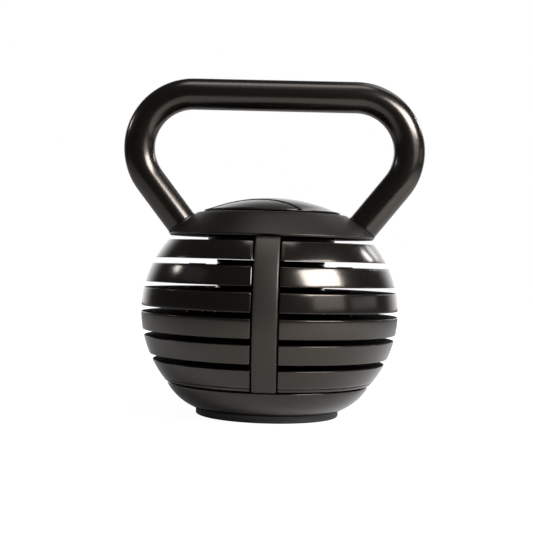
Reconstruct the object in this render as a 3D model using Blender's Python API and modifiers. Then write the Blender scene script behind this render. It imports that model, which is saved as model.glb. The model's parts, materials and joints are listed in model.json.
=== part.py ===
"""Adjustable kettlebell: six loose cast plates on a base, clamped by a screw spindle under a tube handle.

Metres, +Z up, +X along the handle, -Y to the front. The origin is the centre of the foot ring's flat face.
"""

import math

import bmesh
import bpy
from mathutils import Matrix, Vector

MM = 0.001
SEGMENTS = 40  # of a large turned piece
SMALL_SEGMENTS = 20  # of a shaft, washer or bolt
ARC_SIDES = 80  # of a wide cutter that leaves a shallow arc
GAP = 0.3 * MM  # between pieces that touch

# The ball that the plates, bars and base fill
BALL_RADIUS = 104.0 * MM
BALL_MIDDLE_Z = 84.0 * MM
BALL_RISE = 94.0 * MM  # semi-axis above the middle
BALL_DROP = 95.0 * MM  # semi-axis below it

# The stack of plates, counted from the top
PLATE_COUNT = 6
PLATE_PITCH = 19.24 * MM
PLATE_RIM = 14.5 * MM
TOP_PLATE_TOP_Z = 139.8 * MM
STACK_BOTTOM_Z = 27.0 * MM
PLATE_EDGE = 0.8 * MM  # chamfer on each rim edge
PLATE_VOLUME = 315e-6  # 5 lb of cast iron, in cubic metres
HUB_RADIUS = 44.0 * MM
PLATE_BORE = 9.4 * MM
POCKET_INNER = 50.0 * MM
POCKET_WALL = 12.0 * MM  # from a pocket to the plate's lower edge
POCKET_LAND = 17.0 * MM  # half width of the solid web between the two pockets
POCKET_DEPTHS = (2.0 * MM, 10.5 * MM)  # least and most
MARK_SIZE = (12.0 * MM, 3.2 * MM, 1.2 * MM)  # radial, across, high
MARK_RADIUS = 61.0 * MM
MARK_ANGLES = (-11.0, 0.0, 11.0)  # degrees, on the left and on the right
CREASE_Z = 29.4 * MM  # fine groove round the lowest plate
CREASE_DEPTH = 0.6 * MM

# Guide bars, front and rear
BAR_HALF_WIDTH = 9.3 * MM
BAR_INNER_Y = 72.3 * MM
BAR_TOP_Z = 143.8 * MM
BAR_FOOT_Z = (22.0 * MM, 26.4 * MM)
BAR_FOOT_Y = (56.0 * MM, 77.0 * MM)
SLOT_HALF_WIDTH = 10.3 * MM
SLOT_FLOOR_Y = 71.9 * MM

# Countersunk screw through the foot of each bar
SCREW_Y = 64.0 * MM
SCREW_RADIUS = 2.5 * MM
SCREW_HEAD_RADIUS = 4.6 * MM
SCREW_TOP_Z = 25.6 * MM
SCREW_CONE_Z = 23.5 * MM  # under the conical head
SCREW_TIP_Z = 13.0 * MM
SCREW_SOCKET = (1.6 * MM, 24.0 * MM)  # radius and floor height

# Base, foot ring and the nut in the base
BASE_TOP_Z = 26.0 * MM
BASE_RIM = (82.0 * MM, 25.4 * MM)
BASE_BULGE = (71.6 * MM, 13.0 * MM)
BASE_LOWER = (60.4 * MM, 6.2 * MM)
BASE_UNDERSIDE_Z = 5.6 * MM
FOOT_OUTER = 57.8 * MM
FOOT_INNER = 44.0 * MM
FOOT_EDGE = 1.2 * MM
NUT_FLANGE_RADIUS = 17.0 * MM
NUT_FLANGE_Z = (10.3 * MM, 13.3 * MM)
NUT_BARREL_RADIUS = 11.7 * MM
NUT_TOP_Z = 26.4 * MM

# Spindle, its washers and its retaining ring
SPINDLE_RADIUS = 8.0 * MM
SPINDLE_Z = (12.0 * MM, 168.0 * MM)
SPINDLE_TIP = 1.5 * MM  # chamfer
SPINDLE_HOLE = 8.4 * MM
RING_GROOVE_RADIUS = 6.8 * MM
RING_Z = (144.6 * MM, 145.8 * MM)
RING_RADIUS = 11.5 * MM
RING_OPENING = 6.0 * MM
LOWER_WASHER_Z = (146.1 * MM, 147.3 * MM)
LOWER_WASHER_RADIUS = 12.5 * MM
THRUST_WASHER_Z = (155.9 * MM, 157.4 * MM)
THRUST_WASHER_RADIUS = 15.0 * MM
PIN_RADIUS = 2.0 * MM
PIN_Z = 161.0 * MM
PIN_HALF_LENGTH = 14.0 * MM
PIN_SIDES = 12

# Cap
CAP_TOP_Z = 163.2 * MM
CAP_UNDERSIDE_Z = 143.6 * MM
CAP_RIM = (82.9 * MM, 144.6 * MM)
CAP_SHOULDER = ((82.7 * MM, 145.3 * MM), (63.2 * MM, 161.0 * MM))
CAP_CROWN = ((61.2 * MM, 162.2 * MM), (58.4 * MM, 163.0 * MM), (56.0 * MM, CAP_TOP_Z))
CAP_BOSS_RADIUS = 51.5 * MM
CAP_BOSS_Z = 140.1 * MM
CAP_HOLLOW = (18.0 * MM, 44.0 * MM)
CAP_HOLLOW_Z = 154.0 * MM
CAP_COLUMN_Z = 147.6 * MM
CAP_WELL_RADIUS = 15.6 * MM
CAP_WELL_Z = 155.6 * MM
ARCH_RISE = 1.2 * MM  # of the relief in the cap's rim over each bar
ARCH_HALF_WIDTH = 12.0 * MM

# Lock dial
DIAL_RADIUS = 55.6 * MM
DIAL_TOP_Z = 176.1 * MM
DIAL_DOME = 135.0 * MM  # radius of the dome's sphere
DIAL_UNDERSIDE_Z = 163.9 * MM
DIAL_EDGE = 2.4 * MM  # width of the rounding between dome and rim
DIAL_EDGE_Z = (164.5 * MM, 165.0 * MM)  # of the upright rim
DOME_STEPS = 6
DIAL_HUB_RADIUS = 15.0 * MM
DIAL_HUB_Z = 157.7 * MM
DIAL_HOLLOW = (19.0 * MM, 38.0 * MM)
DIAL_HOLLOW_Z = 166.5 * MM
PAD_ARC_RADIUS = 71.0 * MM
PAD_ARC_DISTANCE = 94.0 * MM  # from the dial's axis to the centre of each pad's inner edge
PAD_ARC_ANGLE = 248.0  # degrees; the second pad is opposite
PAD_FLOOR_Z = 165.4 * MM
PAD_GROOVE = 1.1 * MM
PAD_SET_DOWN = 0.5 * MM

# Handle
TUBE_RADIUS = 12.7 * MM
TUBE_WALL = 3.0 * MM
TUBE_SIDES = 16
GRIP_HALF = 66.1 * MM  # straight part of the grip
GRIP_Z = 259.4 * MM
BEND_RADIUS = 44.0 * MM
BEND_STEPS = 10
LEG_ANGLE = 38.2  # degrees from the vertical
LEG_LENGTH = 43.6 * MM
SEAT_PAD_RADIUS = 13.1 * MM
SEAT_PAD_DEPTH = 1.6 * MM
PLUG_RADIUS = 9.4 * MM
PLUG_LENGTH = 23.0 * MM
BOLT_RADIUS = 4.0 * MM
BOLT_HOLE = 4.4 * MM
BOLT_REACH = 16.0 * MM  # of the shank above the seat
BOLT_HEAD_RADIUS = 6.0 * MM
BOLT_HEAD_SPAN = (6.3 * MM, 9.5 * MM)  # below the seat, along the leg's axis
BOLT_SOCKET = (2.9 * MM, 2.0 * MM)  # radius and depth
BOLT_WASHER_SPAN = (5.0 * MM, 6.0 * MM)
BOLT_WASHER_RADIUS = 6.8 * MM
BOLT_POCKET_RADIUS = 7.2 * MM
BOLT_POCKET_DEPTH = 4.7 * MM

ENAMEL = ("enamel", (0.022, 0.020, 0.018), 0.32, 0.0)
TUBE_ENAMEL = ("tube_enamel", (0.020, 0.019, 0.018), 0.28, 0.0)
BAR_ENAMEL = ("bar_enamel", (0.030, 0.028, 0.026), 0.45, 0.0)
RUBBER = ("rubber", (0.018, 0.018, 0.018), 0.8, 0.0)
STEEL = ("steel", (0.42, 0.42, 0.43), 0.35, 1.0)
BLACK_OXIDE = ("black_oxide", (0.05, 0.05, 0.055), 0.4, 1.0)


def clear_scene():
    for obj in list(bpy.data.objects):
        bpy.data.objects.remove(obj, do_unlink=True)


def new_collection(name):
    collection = bpy.data.collections.new(name)
    bpy.context.scene.collection.children.link(collection)
    return collection


def painted(obj, finish):
    """Gives the piece its own Principled material."""
    colour_name, colour, roughness, metallic = finish
    material = bpy.data.materials.new(f"{obj.name}_{colour_name}")
    material.use_nodes = True
    shader = material.node_tree.nodes["Principled BSDF"]
    shader.inputs["Base Color"].default_value = (*colour, 1.0)
    shader.inputs["Roughness"].default_value = roughness
    shader.inputs["Metallic"].default_value = metallic
    obj.data.materials.append(material)
    return obj


def place(name, mesh, finish=None):
    """Links a mesh as a part when it has a finish, and as a hidden cutter when it has none."""
    obj = bpy.data.objects.new(name, mesh)
    if finish:
        PARTS.objects.link(obj)
        return painted(obj, finish)
    CUTTERS.objects.link(obj)
    obj.hide_render = True
    obj.display_type = "WIRE"
    return obj


def mesh_of(name, builder):
    mesh = bpy.data.meshes.new(name)
    shape = bmesh.new()
    builder(shape)
    shape.to_mesh(mesh)
    shape.free()
    return mesh


def turned(name, profile, finish=None, segments=SEGMENTS):
    """A solid of revolution about Z. Its profile of (radius, z) runs down the outer side."""
    mesh = bpy.data.meshes.new(name)
    edges = [(i, i + 1) for i in range(len(profile) - 1)]
    if profile[0][0] > 0:
        edges.append((len(profile) - 1, 0))
    mesh.from_pydata([(radius, 0, z) for radius, z in profile], edges, [])
    obj = place(name, mesh, finish)
    screw = obj.modifiers.new("turn", "SCREW")
    screw.steps = screw.render_steps = segments
    screw.use_merge_vertices = True
    screw.merge_threshold = 0.01 * MM
    screw.use_smooth_shade = False
    return obj


def block(name, low, high, finish=None):
    size = Vector(high) - Vector(low)
    middle = (Vector(high) + Vector(low)) / 2

    def build(shape):
        bmesh.ops.create_cube(shape, size=1.0)
        shape.transform(Matrix.Translation(middle) @ Matrix.Diagonal((*size, 1.0)))

    return place(name, mesh_of(name, build), finish)


def rod(name, radius, start, end, finish=None, sides=SMALL_SEGMENTS):
    """A round bar, or a prism with few sides, between two points."""
    start, end = Vector(start), Vector(end)
    turn = Vector((0, 0, 1)).rotation_difference(end - start).to_matrix().to_4x4()

    def build(shape):
        bmesh.ops.create_cone(
            shape, cap_ends=True, segments=sides, radius1=radius, radius2=radius, depth=(end - start).length
        )
        shape.transform(Matrix.Translation((start + end) / 2) @ turn)

    return place(name, mesh_of(name, build), finish)


def combine(target, other, operation):
    modifier = target.modifiers.new(f"{operation.lower()}_{other.name}", "BOOLEAN")
    modifier.operation = operation
    modifier.object = other
    return target


def cut(target, *others):
    for other in others:
        combine(target, other, "DIFFERENCE")
    return target


def join(target, *others):
    for other in others:
        combine(target, other, "UNION")
    return target


def ball_radius(z):
    """Radius of the ball's surface at a height."""
    rise = BALL_RISE if z > BALL_MIDDLE_Z else BALL_DROP
    return BALL_RADIUS * math.sqrt(1 - ((z - BALL_MIDDLE_Z) / rise) ** 2)


def arc_through(start, middle, end, count):
    """Points of the circular arc through three (radius, z) points, both ends included."""
    (ax, ay), (bx, by), (cx, cy) = start, middle, end
    double = 2 * (ax * (by - cy) + bx * (cy - ay) + cx * (ay - by))
    a2, b2, c2 = ax * ax + ay * ay, bx * bx + by * by, cx * cx + cy * cy
    ux = (a2 * (by - cy) + b2 * (cy - ay) + c2 * (ay - by)) / double
    uy = (a2 * (cx - bx) + b2 * (ax - cx) + c2 * (bx - ax)) / double
    radius = math.hypot(ax - ux, ay - uy)
    first = math.atan2(ay - uy, ax - ux)
    last = math.atan2(cy - uy, cx - ux)
    steps = [first + (last - first) * i / (count - 1) for i in range(count)]
    return [(ux + radius * math.cos(a), uy + radius * math.sin(a)) for a in steps]


def dome_z(radius):
    """Height of the dial's dome at a radius."""
    return DIAL_TOP_Z - DIAL_DOME + math.sqrt(DIAL_DOME**2 - radius**2)


def make_base():
    rim = arc_through(BASE_RIM, BASE_BULGE, BASE_LOWER, 6)
    barrel = NUT_BARREL_RADIUS + GAP
    hub_z = STACK_BOTTOM_Z - GAP
    profile = [
        (barrel, hub_z),
        (HUB_RADIUS, hub_z),
        (HUB_RADIUS, BASE_TOP_Z),
        (BASE_RIM[0] - PLATE_EDGE, BASE_TOP_Z),
        *rim,
        (FOOT_OUTER, BASE_UNDERSIDE_Z),
        (barrel, BASE_UNDERSIDE_Z),
    ]
    base = turned("base", profile, ENAMEL)
    pocket_top = (0, 0, NUT_FLANGE_Z[1] + GAP)
    cut(base, rod("nut_pocket", NUT_FLANGE_RADIUS + GAP, (0, 0, 0), pocket_top, sides=6))
    for side, name in ((-1, "front"), (1, "rear")):
        foot = [side * (BAR_FOOT_Y[0] - GAP), side * (BAR_FOOT_Y[1] + GAP)]
        half = BAR_HALF_WIDTH + GAP
        low = (-half, min(foot), BAR_FOOT_Z[0] - GAP)
        high = (half, max(foot), BASE_TOP_Z + 1 * MM)
        y = side * SCREW_Y
        thread = ((0, y, SCREW_TIP_Z - 2 * GAP), (0, y, SCREW_CONE_Z))
        hole = rod(f"{name}_screw_hole", SCREW_RADIUS + GAP, *thread, sides=12)
        cut(base, block(f"{name}_foot_pocket", low, high), hole)


def make_foot_ring():
    shelf = BASE_UNDERSIDE_Z - GAP
    profile = [
        (FOOT_OUTER, shelf),
        (FOOT_OUTER, FOOT_EDGE),
        (FOOT_OUTER - FOOT_EDGE, 0),
        (FOOT_INNER, 0),
        (FOOT_INNER, shelf),
    ]
    turned("foot_ring", profile, RUBBER)


def make_base_nut():
    low, high = NUT_FLANGE_Z
    nut = rod("base_nut", NUT_FLANGE_RADIUS, (0, 0, low), (0, 0, high), STEEL, sides=6)
    barrel = rod("nut_barrel", NUT_BARREL_RADIUS, (0, 0, high - 1 * MM), (0, 0, NUT_TOP_Z))
    hole = rod("nut_hole", SPINDLE_RADIUS + GAP, (0, 0, 0), (0, 0, NUT_TOP_Z + 2 * MM))
    cut(join(nut, barrel), hole)


def make_guide_bar(side, name):
    """An upright with an outer face on the ball's surface, and a foot let into the base."""
    y_span = sorted((side * BAR_INNER_Y, side * (BALL_RADIUS + 2 * MM)))
    low = (-BAR_HALF_WIDTH, y_span[0], BAR_FOOT_Z[1])
    high = (BAR_HALF_WIDTH, y_span[1], BAR_TOP_Z)
    bar = block(f"{name}_bar", low, high, BAR_ENAMEL)
    heights = [BAR_FOOT_Z[1] + (BAR_TOP_Z - BAR_FOOT_Z[1]) * i / 14 for i in range(-1, 16)]
    outline = [(ball_radius(z), z) for z in reversed(heights)]
    ball = turned(f"{name}_ball", [(0, outline[0][1]), *outline, (0, outline[-1][1])])
    combine(bar, ball, "INTERSECT")
    foot_span = sorted((side * BAR_FOOT_Y[0], side * BAR_FOOT_Y[1]))
    foot_low = (-BAR_HALF_WIDTH, foot_span[0], BAR_FOOT_Z[0])
    foot = block(f"{name}_foot", foot_low, (BAR_HALF_WIDTH, foot_span[1], BASE_TOP_Z))
    root_span = sorted((side * BAR_INNER_Y, side * BAR_FOOT_Y[1]))
    root_low = (-BAR_HALF_WIDTH, root_span[0], BAR_FOOT_Z[0] + 1 * MM)
    root = block(f"{name}_root", root_low, (BAR_HALF_WIDTH, root_span[1], BAR_FOOT_Z[1] + 2 * MM))
    join(bar, root, foot)
    clear = 1.3 * GAP
    sunk_profile = [
        (0, BASE_TOP_Z + 1 * MM),
        (SCREW_HEAD_RADIUS + clear, BASE_TOP_Z + 1 * MM),
        (SCREW_HEAD_RADIUS + clear, SCREW_TOP_Z),
        (SCREW_RADIUS + clear, SCREW_CONE_Z),
        (SCREW_RADIUS + clear, BAR_FOOT_Z[0] - 1 * MM),
        (0, BAR_FOOT_Z[0] - 1 * MM),
    ]
    hole = turned(f"{name}_sunk_hole", sunk_profile, segments=SMALL_SEGMENTS)
    hole.location.y = side * SCREW_Y
    cut(bar, hole)


def make_bar_screw(side, name):
    profile = [
        (0, SCREW_TOP_Z),
        (SCREW_HEAD_RADIUS, SCREW_TOP_Z),
        (SCREW_RADIUS, SCREW_CONE_Z),
        (SCREW_RADIUS, SCREW_TIP_Z),
        (0, SCREW_TIP_Z),
    ]
    screw = turned(f"{name}_bar_screw", profile, STEEL, segments=SMALL_SEGMENTS)
    screw.location.y = side * SCREW_Y
    radius, floor = SCREW_SOCKET
    ends = ((0, side * SCREW_Y, floor), (0, side * SCREW_Y, BASE_TOP_Z))
    cut(screw, rod(f"{name}_screw_socket", radius, *ends, sides=6))


def plate_span(index):
    """Bottom and top height of a plate's rim, counted from 1 at the top."""
    top = TOP_PLATE_TOP_Z - (index - 1) * PLATE_PITCH
    bottom = STACK_BOTTOM_Z if index == PLATE_COUNT else top - PLATE_RIM
    return bottom, top


def rim_points(bottom, top, count=3):
    """The rim of a plate on the ball's surface, from the top down, with chamfered edges."""
    high, low = top - PLATE_EDGE, bottom + PLATE_EDGE
    heights = [high + (low - high) * i / (count - 1) for i in range(count)]
    rim = [(ball_radius(z), z) for z in heights]
    return [(ball_radius(top) - PLATE_EDGE, top), *rim, (ball_radius(bottom) - PLATE_EDGE, bottom)]


def pocket_depth(bottom, top, outer):
    """Depth of the two casting pockets that brings a plate to its target volume."""
    mean_square = sum(ball_radius(bottom + (top - bottom) * (i + 0.5) / 8) ** 2 for i in range(8)) / 8
    disc = math.pi * mean_square * (top - bottom)
    slots = 4 * SLOT_HALF_WIDTH * (math.sqrt(mean_square) - SLOT_FLOOR_Y) * (top - bottom)
    hub = math.pi * HUB_RADIUS**2 * (PLATE_PITCH - PLATE_RIM)
    area = math.pi * (outer**2 - POCKET_INNER**2) - 4 * POCKET_LAND * (outer - POCKET_INNER)
    depth = (disc - slots + hub - PLATE_VOLUME) / area
    return min(max(depth, POCKET_DEPTHS[0]), POCKET_DEPTHS[1])


def make_marks(name, top):
    """Raised tally bars on the left and right of a plate's top face."""
    length, width, height = MARK_SIZE

    def build(shape):
        for angle in [*MARK_ANGLES, *(180 + a for a in MARK_ANGLES)]:
            made = bmesh.ops.create_cube(shape, size=1.0)["verts"]
            move = (
                Matrix.Rotation(math.radians(angle), 4, "Z")
                @ Matrix.Translation((MARK_RADIUS, 0, top))
                @ Matrix.Diagonal((length, width, 2 * height, 1.0))
            )
            bmesh.ops.transform(shape, matrix=move, verts=made)

    return place(name, mesh_of(name, build))


def make_plate(index):
    name = f"plate_{index}"
    bottom, top = plate_span(index)
    rim = rim_points(bottom, top)
    if index == PLATE_COUNT:
        above = [point for point in rim if point[1] > CREASE_Z + CREASE_DEPTH]
        crease = [
            (ball_radius(CREASE_Z + CREASE_DEPTH), CREASE_Z + CREASE_DEPTH),
            (ball_radius(CREASE_Z) - CREASE_DEPTH, CREASE_Z),
            (ball_radius(CREASE_Z - CREASE_DEPTH), CREASE_Z - CREASE_DEPTH),
        ]
        rim = [*above, *crease, *rim[-2:]]
    hub_top = top
    hub = []
    if index > 1:
        hub_top = plate_span(index - 1)[0] - GAP
        hub = [(HUB_RADIUS - PLATE_EDGE, hub_top), (HUB_RADIUS, hub_top - PLATE_EDGE), (HUB_RADIUS, top)]
    profile = [(PLATE_BORE, hub_top), *hub, *rim, (PLATE_BORE, bottom)]
    plate = turned(name, profile, ENAMEL)

    outer = ball_radius(bottom) - POCKET_WALL
    depth = pocket_depth(bottom, top, outer)
    low, high = bottom - 1 * MM, bottom + depth
    ring = [(outer, high), (outer, low), (POCKET_INNER, low), (POCKET_INNER, high)]
    pockets = turned(f"{name}_pockets", ring)
    web = block(
        f"{name}_web",
        (-POCKET_LAND, -BALL_RADIUS, low - 1 * MM),
        (POCKET_LAND, BALL_RADIUS, high + 1 * MM),
    )
    cut(pockets, web)
    cut(plate, pockets)
    for side, end in ((-1, "front"), (1, "rear")):
        y_span = sorted((side * SLOT_FLOOR_Y, side * (BALL_RADIUS + 2 * MM)))
        slot = block(
            f"{name}_{end}_slot",
            (-SLOT_HALF_WIDTH, y_span[0], bottom - 1 * MM),
            (SLOT_HALF_WIDTH, y_span[1], top + 1 * MM),
        )
        cut(plate, slot)
    join(plate, make_marks(f"{name}_marks", top))


def leg_frame(side):
    """The seat of one leg: its centre on the cap and the direction up the leg."""
    angle = math.radians(LEG_ANGLE)
    up = Vector((side * math.sin(angle), 0, math.cos(angle)))
    bend_end = Vector(
        (
            side * (GRIP_HALF + BEND_RADIUS * math.cos(angle)),
            0,
            GRIP_Z - BEND_RADIUS - BEND_RADIUS * math.sin(angle),
        )
    )
    return bend_end - up * LEG_LENGTH, up


def make_handle_tube():
    """Grip, two bends and two straight legs, as a hollow tube with open, square ends."""
    points = []
    for side in (1, -1):
        seat, up = leg_frame(side)
        centre = Vector((side * GRIP_HALF, 0, GRIP_Z - BEND_RADIUS))
        sweep = 90 + LEG_ANGLE
        half = [seat + up * GAP / 2]
        for i in range(BEND_STEPS + 1):
            angle = math.radians(-LEG_ANGLE + sweep * i / BEND_STEPS)
            half.append(centre + BEND_RADIUS * Vector((side * math.cos(angle), 0, math.sin(angle))))
        points += half if side == 1 else reversed(half)
    curve = bpy.data.curves.new("handle_path", "CURVE")
    curve.dimensions = "3D"
    spline = curve.splines.new("POLY")
    spline.points.add(len(points) - 1)
    for point, place_at in zip(spline.points, points):
        point.co = (*place_at, 1.0)
    curve.bevel_depth = TUBE_RADIUS
    curve.bevel_resolution = (TUBE_SIDES - 4) // 2
    curve.use_fill_caps = False
    path = bpy.data.objects.new("handle_path", curve)
    CUTTERS.objects.link(path)
    graph = bpy.context.evaluated_depsgraph_get()
    mesh = bpy.data.meshes.new_from_object(path.evaluated_get(graph))
    bpy.data.objects.remove(path, do_unlink=True)
    mesh.materials.clear()
    shape = bmesh.new()
    shape.from_mesh(mesh)
    bmesh.ops.remove_doubles(shape, verts=shape.verts, dist=0.01 * MM)
    bmesh.ops.recalc_face_normals(shape, faces=shape.faces)
    shape.to_mesh(mesh)
    shape.free()
    tube = place("handle_tube", mesh, TUBE_ENAMEL)
    wall = tube.modifiers.new("wall", "SOLIDIFY")
    wall.thickness = TUBE_WALL
    wall.offset = -1.0
    return tube


def make_leg_fixing(side, name):
    """Plug in the tube's end, and the bolt and washer that pull it down on the cap from below."""
    seat, up = leg_frame(side)

    def along(distance):
        return seat - up * distance

    plug = rod(f"handle_plug_{name}", PLUG_RADIUS, along(-GAP / 2), along(-PLUG_LENGTH), STEEL)
    thread = rod(f"{name}_plug_thread", BOLT_HOLE, along(1 * MM), along(-BOLT_REACH - 2 * MM))
    cut(plug, thread)

    high, low = BOLT_HEAD_SPAN
    bolt = rod(f"handle_bolt_{name}", BOLT_HEAD_RADIUS, along(high), along(low), BLACK_OXIDE)
    shank = rod(f"{name}_shank", BOLT_RADIUS, along(high + 1 * MM), along(-BOLT_REACH))
    socket_floor = low - BOLT_SOCKET[1]
    socket = rod(f"{name}_socket", BOLT_SOCKET[0], along(socket_floor), along(low + 1 * MM), sides=6)
    cut(join(bolt, shank), socket)

    near, far = BOLT_WASHER_SPAN
    washer = rod(f"bolt_washer_{name}", BOLT_WASHER_RADIUS, along(near), along(far), STEEL)
    cut(washer, rod(f"{name}_washer_hole", BOLT_HOLE, along(near - 1 * MM), along(far + 1 * MM)))


def make_cap():
    profile = [
        (CAP_WELL_RADIUS, CAP_TOP_Z),
        *reversed(CAP_CROWN),
        *reversed(CAP_SHOULDER),
        CAP_RIM,
        (CAP_RIM[0] - 1 * MM, CAP_UNDERSIDE_Z),
        (CAP_BOSS_RADIUS, CAP_UNDERSIDE_Z),
        (CAP_BOSS_RADIUS, CAP_BOSS_Z),
        (CAP_HOLLOW[1], CAP_BOSS_Z),
        (CAP_HOLLOW[1], CAP_HOLLOW_Z),
        (CAP_HOLLOW[0], CAP_HOLLOW_Z),
        (CAP_HOLLOW[0], CAP_COLUMN_Z),
        (SPINDLE_HOLE, CAP_COLUMN_Z),
        (SPINDLE_HOLE, CAP_WELL_Z),
        (CAP_WELL_RADIUS, CAP_WELL_Z),
    ]
    cap = turned("top_cap", profile, ENAMEL)
    for side, name in ((1, "right"), (-1, "left")):
        seat, up = leg_frame(side)
        face = seat - up * GAP / 2
        pad = rod(f"{name}_seat_pad", SEAT_PAD_RADIUS, face, face - up * SEAT_PAD_DEPTH)
        join(cap, pad)
        below = seat - up * (CAP_TOP_Z - CAP_UNDERSIDE_Z)
        hole = rod(f"{name}_bolt_hole", BOLT_HOLE, seat + up * 2 * MM, below)
        ceiling = seat - up * BOLT_POCKET_DEPTH
        pocket = rod(f"{name}_bolt_pocket", BOLT_POCKET_RADIUS, ceiling, below)
        cut(cap, hole, pocket)
    radius = (ARCH_HALF_WIDTH**2 + ARCH_RISE**2) / (2 * ARCH_RISE)
    axis_z = CAP_UNDERSIDE_Z + ARCH_RISE - radius
    for side, name in ((-1, "front"), (1, "rear")):
        ends = [(0, side * y, axis_z) for y in (CAP_BOSS_RADIUS + 8 * MM, BALL_RADIUS)]
        cut(cap, rod(f"{name}_arch", radius, *ends, sides=ARC_SIDES))


def dome_points(set_down=0.0):
    """The dome from its top to near its edge, lowered by set_down."""
    radii = [(DIAL_RADIUS - DIAL_EDGE) * i / DOME_STEPS for i in range(DOME_STEPS + 1)]
    return [(radius, dome_z(radius) - set_down) for radius in radii]


def make_dial():
    profile = [
        *dome_points(),
        (DIAL_RADIUS, DIAL_EDGE_Z[1]),
        (DIAL_RADIUS, DIAL_EDGE_Z[0]),
        (DIAL_RADIUS - PLATE_EDGE, DIAL_UNDERSIDE_Z),
        (DIAL_HOLLOW[1], DIAL_UNDERSIDE_Z),
        (DIAL_HOLLOW[1], DIAL_HOLLOW_Z),
        (DIAL_HOLLOW[0], DIAL_HOLLOW_Z),
        (DIAL_HOLLOW[0], DIAL_UNDERSIDE_Z),
        (DIAL_HUB_RADIUS, DIAL_UNDERSIDE_Z),
        (DIAL_HUB_RADIUS, DIAL_HUB_Z),
        (0, DIAL_HUB_Z),
    ]
    dial = turned("lock_dial", profile, ENAMEL)
    bore = ((0, 0, DIAL_HUB_Z - 2 * MM), (0, 0, SPINDLE_Z[1] + GAP))
    pin_end = DIAL_HUB_RADIUS + 2 * MM
    pin = ((-pin_end, 0, PIN_Z), (pin_end, 0, PIN_Z))
    cut(dial, rod("dial_bore", SPINDLE_RADIUS + GAP, *bore))
    cut(dial, rod("dial_pin_hole", PIN_RADIUS + GAP, *pin, sides=PIN_SIDES))
    for turn, name in ((0, "front"), (180, "rear")):
        angle = math.radians(PAD_ARC_ANGLE + turn)
        middle = PAD_ARC_DISTANCE * Vector((math.cos(angle), math.sin(angle), 0))
        floor = middle + Vector((0, 0, PAD_FLOOR_Z))
        above = middle + Vector((0, 0, DIAL_TOP_Z + 2 * MM))
        cut(dial, rod(f"dial_well_{name}", PAD_ARC_RADIUS, floor, above, sides=ARC_SIDES))
        floor.z += GAP
        pad = rod(f"dial_pad_{name}", PAD_ARC_RADIUS - PAD_GROOVE, floor, above, ENAMEL, sides=ARC_SIDES)
        edge = DIAL_RADIUS - GAP
        rim = [(edge, DIAL_EDGE_Z[1]), (edge, DIAL_EDGE_Z[0]), (0, DIAL_EDGE_Z[0])]
        skin = [*dome_points(PAD_SET_DOWN), *rim]
        combine(pad, turned(f"dial_skin_{name}", skin), "INTERSECT")


def make_spindle():
    low, high = SPINDLE_Z
    groove_low, groove_high = RING_Z[0] - GAP, RING_Z[1] + GAP
    profile = [
        (0, high),
        (SPINDLE_RADIUS, high),
        (SPINDLE_RADIUS, groove_high),
        (RING_GROOVE_RADIUS, groove_high),
        (RING_GROOVE_RADIUS, groove_low),
        (SPINDLE_RADIUS, groove_low),
        (SPINDLE_RADIUS, low + SPINDLE_TIP),
        (SPINDLE_RADIUS - SPINDLE_TIP, low),
        (0, low),
    ]
    spindle = turned("spindle", profile, STEEL, segments=SMALL_SEGMENTS)
    pin = ((-PIN_HALF_LENGTH, 0, PIN_Z), (PIN_HALF_LENGTH, 0, PIN_Z))
    cut(spindle, rod("spindle_pin_hole", PIN_RADIUS + GAP, *pin, sides=PIN_SIDES))
    rod("dial_pin", PIN_RADIUS, *pin, STEEL, sides=PIN_SIDES)


def make_washer(name, span, radius, hole):
    low, high = span
    turned(name, [(radius, high), (radius, low), (hole, low), (hole, high)], STEEL, segments=SMALL_SEGMENTS)


def make_retaining_ring():
    low, high = RING_Z
    inner = RING_GROOVE_RADIUS + GAP
    profile = [(RING_RADIUS, high), (RING_RADIUS, low), (inner, low), (inner, high)]
    ring = turned("retaining_ring", profile, STEEL, segments=SMALL_SEGMENTS)
    half = RING_OPENING / 2
    cut(ring, block("ring_gap", (-half, 0, low - 1 * MM), (half, 2 * RING_RADIUS, high + 1 * MM)))


clear_scene()
PARTS = new_collection("kettlebell")
CUTTERS = new_collection("cutters")

make_base()
make_foot_ring()
make_base_nut()
for bar_side, bar_name in ((-1, "front"), (1, "rear")):
    make_guide_bar(bar_side, bar_name)
    make_bar_screw(bar_side, bar_name)
for plate_index in range(1, PLATE_COUNT + 1):
    make_plate(plate_index)
make_cap()
make_handle_tube()
for leg_side, leg_name in ((1, "right"), (-1, "left")):
    make_leg_fixing(leg_side, leg_name)
make_dial()
make_spindle()
make_washer("thrust_washer", THRUST_WASHER_Z, THRUST_WASHER_RADIUS, SPINDLE_HOLE)
make_washer("lower_washer", LOWER_WASHER_Z, LOWER_WASHER_RADIUS, SPINDLE_HOLE)
make_retaining_ring()
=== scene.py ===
"""Looks of an adjustable kettlebell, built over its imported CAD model.

Metres, in the CAD's frame: +Z up, +X along the grip, -Y to the front. Most pieces get a fine mesh with
rounded edges, which rides on the same body as the CAD node it replaces. The base nut, dial pin, washers,
tube plugs, bar screws and retaining ring keep their CAD meshes and get a material only.
"""

import json
import math

import bmesh
import bpy
from mathutils import Matrix, Vector


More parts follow.
